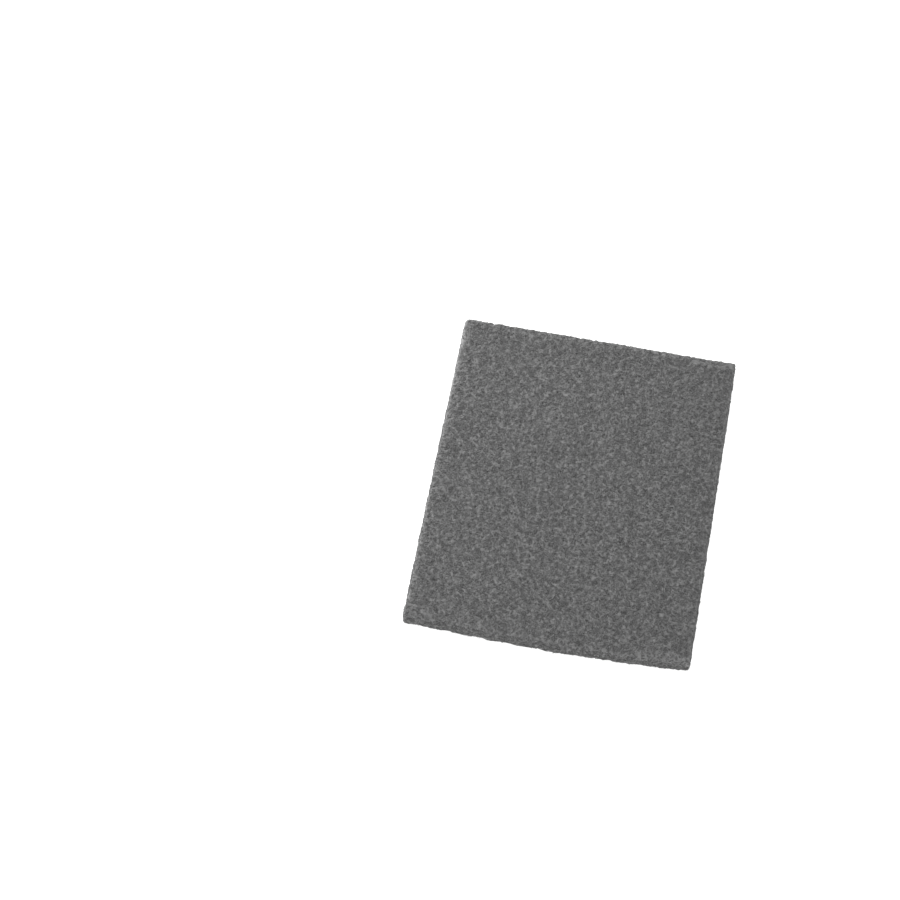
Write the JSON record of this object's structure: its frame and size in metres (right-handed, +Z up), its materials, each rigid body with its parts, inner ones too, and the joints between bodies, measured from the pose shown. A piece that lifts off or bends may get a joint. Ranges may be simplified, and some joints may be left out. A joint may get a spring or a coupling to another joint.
{
  "type": "abrasive hand pad",
  "caption": "Rectangular sheet of bonded abrasive fibre web, held flat in the hand to scour, scuff or smooth a surface.",
  "frame": {"origin": "under the middle of the pad, on the surface that it lies on", "axes": "+Y along the pad's length, away from the bowed near edge; +X across its width; +Z up through its thickness"},
  "size_m": [0.1524, 0.2286, 0.008],
  "materials": {
    "fibre_web": "matte"
  },
  "bodies": {
    "root": {"abrasive_pad": "fibre_web"}
  },
  "joints": []
}
